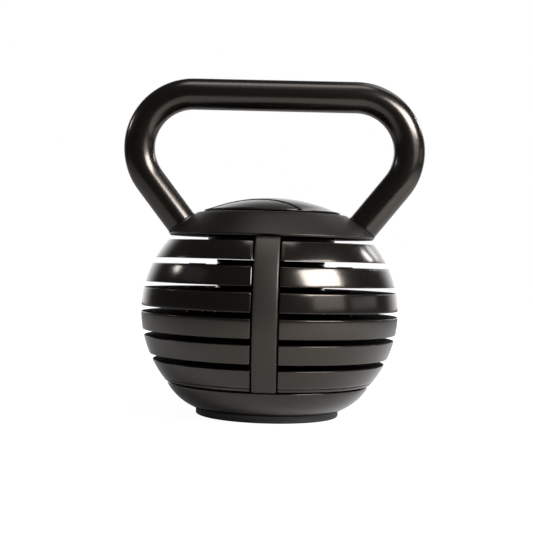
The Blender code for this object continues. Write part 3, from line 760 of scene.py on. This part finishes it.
def pad_outline(inset):
    """Outline of one pad in the dial's (u, v) axes, on the +v side."""
    radius = PAD_RIM_RADIUS - inset
    arc = PAD_ARC_RADIUS - PAD_GROOVE - inset
    u, v = arc_meets(radius, arc)
    first = math.atan2(v, u)
    rim = [(radius * math.cos(a), radius * math.sin(a), 0.0) for a in arc_steps(first, math.pi - first, 61)]
    for end in (0, -1):
        rim[end] = (*rim[end][:2], PAD_CORNER)
    spread = math.asin(u / arc)
    turns = arc_steps(-spread, spread, 49)[1:-1]
    inner = [(arc * math.sin(a), PAD_ARC_DISTANCE - arc * math.cos(a), 0.0) for a in turns]
    return rounded(rim + inner, closed=True, steps=4)


def domed(shell, outline, fillet, middle, set_down, floor):
    """Grows a top that follows the dial's dome, and sides that drop to a floor. Returns the lowest loop."""
    steps = 12
    centre = Vector((0, middle))
    tops = outline(fillet)
    rings = [[centre + (p - centre) * k / steps for p in tops] for k in range(1, steps + 1)]
    heights = [[dome_z(p.length) - set_down for p in ring] for ring in rings]
    for a in arc_steps(0.0, math.pi / 2, 5)[1:]:
        ring = outline(fillet * (1 - math.sin(a)))
        drop = fillet * (1 - math.cos(a))
        rings.append(ring)
        heights.append([dome_z(p.length) - set_down - drop for p in ring])
    rings.append(outline(0.0))
    heights.append([floor(p) for p in rings[-1]])
    points = [[Vector((p.x, p.y, z)) for p, z in zip(ring, zs)] for ring, zs in zip(rings, heights)]
    first = Vector((0, middle, dome_z(abs(middle)) - set_down))
    _, last = shell.walls([[first], *points])
    return last


def dial_turned(obj):
    return moved(obj, Matrix.Rotation(math.radians(PAD_ARC_ANGLE - 90), 4, "Z"))


def make_dial():
    """A disc with a sunk ledge for each pad, and the domed bridge between them."""
    shell = Shell()
    last = domed(shell, bridge_outline, BRIDGE_FILLET, 0.0, 0.0, lambda p: DIAL_LEDGE_Z - BRIDGE_SINK)
    shell.fill(last)
    bridge = shell.done("dial_bridge")
    core_radius, core_z = DIAL_CORE
    hub_radius, hub_z = DIAL_HUB
    body = lathe("lock_dial_casting", rounded([
        (0, core_z, 0),
        (core_radius, core_z, 0),
        *((r, dome_z(r) - DIAL_WELL, 0) for r in arc_steps(*DIAL_WELL_SPAN, 12)),
        (DIAL_WELL_EDGE, DIAL_LEDGE_Z, 1 * MM),
        (DIAL_RADIUS, DIAL_LEDGE_Z, 0.2 * MM),
        (DIAL_RADIUS - 0.2 * MM, DIAL_UNDERSIDE_Z, 0.2 * MM),
        (hub_radius, DIAL_UNDERSIDE_Z, 0.5 * MM),
        (hub_radius, hub_z, 0.5 * MM),
        (0, hub_z, 0),
    ], steps=4))
    hole = rod("bore", SPINDLE_RADIUS + GAP, (0, 0, DIAL_BORE_Z), (0, 0, SPINDLE_Z[1] + GAP))
    dial = solid(dial_turned(body), "UNION", dial_turned(bridge))
    return smooth(solid(dial, "DIFFERENCE", hole))


def pad_floor(p):
    return max(dome_z(p.length) - PAD_THICKNESS, DIAL_LEDGE_Z + GAP)


def make_pad(turn, name):
    shell = Shell()
    last = domed(shell, pad_outline, PAD_FILLET, PAD_MIDDLE, PAD_SET_DOWN, pad_floor)
    shell.fill(last)
    pad = shell.done(f"dial_pad_{name}_plate")
    return smooth(dial_turned(moved(pad, Matrix.Rotation(math.radians(turn), 4, "Z"))))


def make_bolt(side, name):
    seat, up = leg_frame(side)
    high, low = BOLT_HEAD_SPAN
    mouth, socket = BOLT_SOCKET_RADII
    outline = rounded([
        (0, BOLT_TIP, 0),
        (BOLT_RADIUS, BOLT_TIP, 0.6 * MM),
        (BOLT_RADIUS, high, 0.3 * MM),
        (BOLT_HEAD_RADIUS, high, 0.3 * MM),
        (BOLT_HEAD_RADIUS, low, 0.7 * MM),
        (mouth, low, 0.2 * MM),
        (socket, low - BOLT_SOCKET_DEPTH, 0.2 * MM),
        (0, low - BOLT_SOCKET_DEPTH, 0),
    ], steps=4)
    bolt = lathe(f"handle_bolt_{name}_steel", outline, SMALL_SEGMENTS)
    turn = Vector((0, 0, 1)).rotation_difference(-up).to_matrix().to_4x4()
    return smooth(moved(bolt, Matrix.Translation(seat) @ turn))


def thread_ring(z):
    """Outline of the spindle's thread at one height, with a lead-in at its tip and a run-out at its top."""
    fade = min(1.0, (THREAD_TOP_Z - z) / (2 * THREAD_PITCH))
    lead_in = min(0.0, z - SPINDLE_Z[0] - SPINDLE_TIP[1])
    points = []
    for k in range(SMALL_SEGMENTS):
        angle = 2 * math.pi * k / SMALL_SEGMENTS
        phase = (z / THREAD_PITCH - k / SMALL_SEGMENTS) % 1.0
        flank = min(1.0, max(0.0, (abs(phase - 0.5) - THREAD_CREST) / THREAD_FLANK))
        radius = min(SPINDLE_RADIUS - THREAD_DEPTH * fade * flank, SPINDLE_RADIUS + lead_in)
        points.append(Vector((radius * math.cos(angle), radius * math.sin(angle), z)))
    return points


def make_spindle():
    """Shaft with a lead-in tip, a screw thread on its lower end and a groove for the ring."""
    low, high = SPINDLE_Z
    groove_low, groove_high = RING_GROOVE_Z
    step = THREAD_PITCH / THREAD_STEPS
    shank = [
        (THREAD_TOP_Z, SPINDLE_RADIUS),
        (groove_low, SPINDLE_RADIUS),
        (groove_low, RING_GROOVE_RADIUS),
        (groove_high, RING_GROOVE_RADIUS),
        (groove_high, SPINDLE_RADIUS),
        (high, SPINDLE_RADIUS),
    ]
    tip = at(circle(SPINDLE_RADIUS - SPINDLE_TIP[0], SMALL_SEGMENTS), low)
    thread = [thread_ring(low + i * step) for i in range(1, int((THREAD_TOP_Z - low) / step))]
    shell = Shell()
    bottom, top = shell.walls([tip, *thread, *(at(circle(r, SMALL_SEGMENTS), z) for z, r in shank)])
    shell.fill(bottom)
    shell.fill(top)
    return smooth(shell.done("spindle_screw"))


# ---------------------------------------------------------------- materials


def map_range(nodes, links, source, span, to, curve="LINEAR"):
    node = nodes.new("ShaderNodeMapRange")
    node.interpolation_type = curve
    for name, value in zip(("From Min", "From Max", "To Min", "To Max"), (*span, *to)):
        node.inputs[name].default_value = value
    links.new(source, node.inputs["Value"])
    return node.outputs["Result"]


def new_material(name, colour, roughness, metallic=0.0, specular=0.5, tint=(1.0, 1.0, 1.0)):
    material = bpy.data.materials.new(name)
    material.use_nodes = True
    shader = material.node_tree.nodes["Principled BSDF"]
    shader.inputs["Base Color"].default_value = (*colour, 1.0)
    shader.inputs["Roughness"].default_value = roughness
    shader.inputs["Metallic"].default_value = metallic
    shader.inputs["Specular IOR Level"].default_value = specular
    shader.inputs["Specular Tint"].default_value = (*tint, 1.0)
    return material, shader


def grain(material, shader, colour, roughness, scale, bump):
    """Node detail: patchy colour and roughness, and a fine surface relief."""
    nodes, links = material.node_tree.nodes, material.node_tree.links
    place = nodes.new("ShaderNodeTexCoord").outputs["Object"]

    def noise(size, detail):
        node = nodes.new("ShaderNodeTexNoise")
        node.inputs["Scale"].default_value = size
        node.inputs["Detail"].default_value = detail
        links.new(place, node.inputs["Vector"])
        return node.outputs["Fac"]

    wide, fine = noise(PATCH_SCALE, PATCH_DETAIL), noise(scale, RELIEF_DETAIL)
    mix = nodes.new("ShaderNodeMix")
    mix.data_type = "RGBA"
    for socket, share in (("A", 1 - COLOUR_SPREAD), ("B", 1 + COLOUR_SPREAD)):
        mix.inputs[socket].default_value = (*(c * share for c in colour), 1.0)
    links.new(map_range(nodes, links, wide, PATCH_SPAN, (0.0, 1.0)), mix.inputs["Factor"])
    links.new(mix.outputs["Result"], shader.inputs["Base Color"])
    limits = (roughness - ROUGHNESS_SPREAD, roughness + ROUGHNESS_SPREAD)
    links.new(map_range(nodes, links, wide, PATCH_SPAN, limits), shader.inputs["Roughness"])
    relief = nodes.new("ShaderNodeBump")
    relief.inputs["Strength"].default_value = RELIEF_STRENGTH
    relief.inputs["Distance"].default_value = bump
    links.new(fine, relief.inputs["Height"])
    links.new(relief.outputs["Normal"], shader.inputs["Normal"])


def finish(name, colour, roughness, scale=900.0, bump=0.02 * MM, **look):
    """A material with grain; look holds what else new_material takes."""
    material, shader = new_material(name, colour, roughness, **look)
    grain(material, shader, colour, roughness, scale, bump)
    return material


def enamel(name, colour, roughness, specular, **detail):
    return finish(name, colour, roughness, specular=specular, tint=WARM_GLOSS, **detail)


CAST_BLACK = (0.0030, 0.0024, 0.0020)
ENAMEL = enamel("cast_enamel", CAST_BLACK, 0.18, 0.54, bump=0.007 * MM)
CAP_ENAMEL = enamel("cap_enamel", (0.0028, 0.0023, 0.0020), 0.41, 0.31, bump=0.01 * MM)
FACE_ENAMEL = enamel("face_enamel", CAST_BLACK, 0.85, 0.15, scale=260.0, bump=0.05 * MM)
DIAL_ENAMEL = enamel("dial_enamel", (0.0024, 0.0019, 0.0016), 0.24, 0.45, bump=0.008 * MM)
TUBE_ENAMEL = enamel("tube_enamel", (0.0020, 0.0016, 0.0013), 0.22, 0.54, scale=600.0, bump=0.003 * MM)
BAR_ENAMEL = enamel("bar_enamel", (0.0090, 0.0079, 0.0070), 0.44, 0.45)
RUBBER = finish("foot_rubber", (0.014, 0.014, 0.014), 0.6, bump=0.05 * MM)
STEEL = finish("zinc_steel", (0.42, 0.42, 0.43), 0.32, bump=0.01 * MM, metallic=1.0)
OXIDE = finish("oxide_steel", (0.04, 0.04, 0.045), 0.38, bump=0.01 * MM, metallic=1.0)


def dress(obj, material):
    obj.data.materials.clear()
    obj.data.materials.append(material)


def piece(obj, body, node, material):
    dress(obj, material)
    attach(obj, body)
    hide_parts(node)


def roughen_faces(obj, material):
    """Gives the flat faces of a casting a duller coat than its rim."""
    obj.data.materials.append(material)
    for face in obj.data.polygons:
        if abs(face.normal.z) > FLATNESS:
            face.material_index = 1


for number in range(1, PLATE_COUNT + 1):
    plate = make_plate(number)
    piece(plate, f"loose_plate_{number}", f"plate_{number}", ENAMEL)
    roughen_faces(plate, FACE_ENAMEL)
base = make_base()
piece(base, "base_assembly", "base", ENAMEL)
roughen_faces(base, FACE_ENAMEL)
piece(make_foot_ring(), "base_assembly", "foot_ring", RUBBER)
for bar_side, bar_name in ((-1, "front"), (1, "rear")):
    piece(make_bar(bar_side, bar_name), "base_assembly", f"{bar_name}_bar", BAR_ENAMEL)
piece(make_cap(), "head", "top_cap", CAP_ENAMEL)
piece(make_tube(), "head", "handle_tube", TUBE_ENAMEL)
for leg_side, leg_name in ((1, "right"), (-1, "left")):
    piece(make_bolt(leg_side, leg_name), "head", f"handle_bolt_{leg_name}", OXIDE)
piece(make_dial(), "dial", "lock_dial", DIAL_ENAMEL)
piece(make_pad(0, "front"), "dial", "dial_pad_front", DIAL_ENAMEL)
piece(make_pad(180, "rear"), "dial", "dial_pad_rear", DIAL_ENAMEL)
piece(make_spindle(), "dial", "spindle", STEEL)

SLOT_FINISH = {"steel": STEEL, "black_oxide": OXIDE, "rubber": RUBBER}
for entry in frame["record"]["subparts"]:
    if entry["material_slot"] in SLOT_FINISH:
        dress(frame["nodes"][entry["node"]], SLOT_FINISH[entry["material_slot"]])


# ---------------------------------------------------------------- stage


def make_camera():
    yaw, pan, pitch, roll = (math.radians(a) for a in (CAMERA_YAW, CAMERA_PAN, CAMERA_PITCH, CAMERA_ROLL))
    data = bpy.data.cameras.new("camera")
    data.sensor_width = CAMERA_SENSOR
    data.lens = CAMERA_LENS
    camera = bpy.data.objects.new("camera", data)
    bpy.context.scene.collection.objects.link(camera)
    spot = Vector((CAMERA_DISTANCE * math.sin(yaw), -CAMERA_DISTANCE * math.cos(yaw), CAMERA_HEIGHT))
    turn = (
        Matrix.Rotation(yaw + pan, 4, "Z")
        @ Matrix.Rotation(math.radians(90) - pitch, 4, "X")
        @ Matrix.Rotation(roll, 4, "Z")
    )
    camera.matrix_world = Matrix.Translation(spot) @ turn
    bpy.context.scene.camera = camera


def make_floor():
    """A pale sheet. To the eye it is close to white, with a faint shadow, as on a bright studio sweep."""
    mesh = bpy.data.meshes.new("floor")
    left, right, near, far = FLOOR_SPAN
    corners = [(left, near, 0), (right, near, 0), (right, far, 0), (left, far, 0)]
    mesh.from_pydata(corners, [], [(0, 1, 2, 3)])
    floor = bpy.data.objects.new("floor", mesh)
    bpy.context.scene.collection.objects.link(floor)
    material, shader = new_material("floor_white", (FLOOR_SHADE,) * 3, FLOOR_ROUGHNESS)
    nodes, links = material.node_tree.nodes, material.node_tree.links
    glow = nodes.new("ShaderNodeEmission")
    length = nodes.new("ShaderNodeVectorMath")
    length.operation = "LENGTH"
    links.new(nodes.new("ShaderNodeTexCoord").outputs["Object"], length.inputs[0])
    strength = map_range(nodes, links, length.outputs["Value"], GLOW_DISTANCES, GLOW_STRENGTHS, "SMOOTHSTEP")
    links.new(strength, glow.inputs["Strength"])
    share = nodes.new("ShaderNodeMath")
    share.operation = "MULTIPLY"
    share.inputs[1].default_value = FLOOR_GLOW
    links.new(nodes.new("ShaderNodeLightPath").outputs["Is Camera Ray"], share.inputs[0])
    mix = nodes.new("ShaderNodeMixShader")
    links.new(share.outputs[0], mix.inputs[0])
    links.new(shader.outputs[0], mix.inputs[1])
    links.new(glow.outputs[0], mix.inputs[2])
    links.new(mix.outputs[0], nodes["Material Output"].inputs["Surface"])
    dress(floor, material)


def toward(azimuth, elevation, distance):
    """A place seen from the middle of the ball; the azimuth is in degrees from the front towards +X."""
    a, e = math.radians(azimuth), math.radians(elevation)
    way = Vector((math.sin(a) * math.cos(e), -math.cos(a) * math.cos(e), math.sin(e)))
    return way * distance + LIGHT_TARGET


def make_light(name, place, size, radiance, target=LIGHT_TARGET):
    """A rectangular softbox that faces its target and isn't itself in the picture."""
    data = bpy.data.lights.new(name, "AREA")
    data.shape = "RECTANGLE"
    data.size, data.size_y = size
    data.energy = radiance * math.pi * size[0] * size[1]
    light = bpy.data.objects.new(name, data)
    light.location = place
    light.rotation_euler = (light.location - target).to_track_quat("Z", "Y").to_euler()
    light.visible_camera = False
    bpy.context.scene.collection.objects.link(light)


def make_world():
    """White to the eye, dimmer on matt surfaces, and to the gloss a dark studio with a white backdrop."""
    world = bpy.data.worlds.new("studio")
    bpy.context.scene.world = world
    world.use_nodes = True
    nodes, links = world.node_tree.nodes, world.node_tree.links
    background = nodes["Background"]
    path = nodes.new("ShaderNodeLightPath")
    split = nodes.new("ShaderNodeSeparateXYZ")
    links.new(nodes.new("ShaderNodeTexCoord").outputs["Generated"], split.inputs["Vector"])

    def combine(operation, a, b):
        node = nodes.new("ShaderNodeMath")
        node.operation = operation
        for socket, value in zip(node.inputs, (a, b)):
            if isinstance(value, float):
                socket.default_value = value
            else:
                links.new(value, socket)
        return node.outputs[0]

    behind = map_range(nodes, links, split.outputs["Y"], WALL_EDGE, (0.0, WALL), "SMOOTHSTEP")
    low = map_range(nodes, links, split.outputs["Z"], WALL_HEIGHT, WALL_FALL, "SMOOTHSTEP")
    gloss = combine("ADD", combine("MULTIPLY", behind, low), AMBIENT)
    dark = combine("MULTIPLY", path.outputs["Is Glossy Ray"], combine("SUBTRACT", 1.0, gloss))
    dim = combine("MULTIPLY", path.outputs["Is Diffuse Ray"], 1.0 - ROOM)
    background.inputs["Color"].default_value = (1, 1, 1, 1)
    seen = combine("SUBTRACT", 1.0, combine("ADD", dark, dim))
    links.new(seen, background.inputs["Strength"])


make_camera()
make_floor()
make_world()
make_light("key", toward(52, 33, 1.0), (0.57, 0.36), 32)
make_light("low_spill", toward(53, 11, 1.0), (0.50, 0.26), 2.1)
make_light("low_right", toward(91, 8, 1.1), (0.60, 0.20), 0.8)
make_light("overhead", OVERHEAD + CEILING, (0.44, 0.24), 3.7, OVERHEAD)
make_light("overhead_front", OVERHEAD_FRONT + CEILING, (0.28, 0.26), 0.7, OVERHEAD_FRONT)
make_light("window", toward(128, 27, 1.2), (0.12, 0.17), 15)
make_light("window_edge", toward(143, 21, 1.2), (0.16, 0.18), 3.5)
make_light("cap_fill", toward(142, 56, 1.2), (0.40, 0.60), 1.7)
make_light("left", toward(-101, 26, 1.2), (0.15, 0.12), 14)
make_light("left_wide", toward(-75, 28, 1.3), (0.5, 0.3), 0.2)
bpy.context.scene.view_settings.view_transform = "Standard"
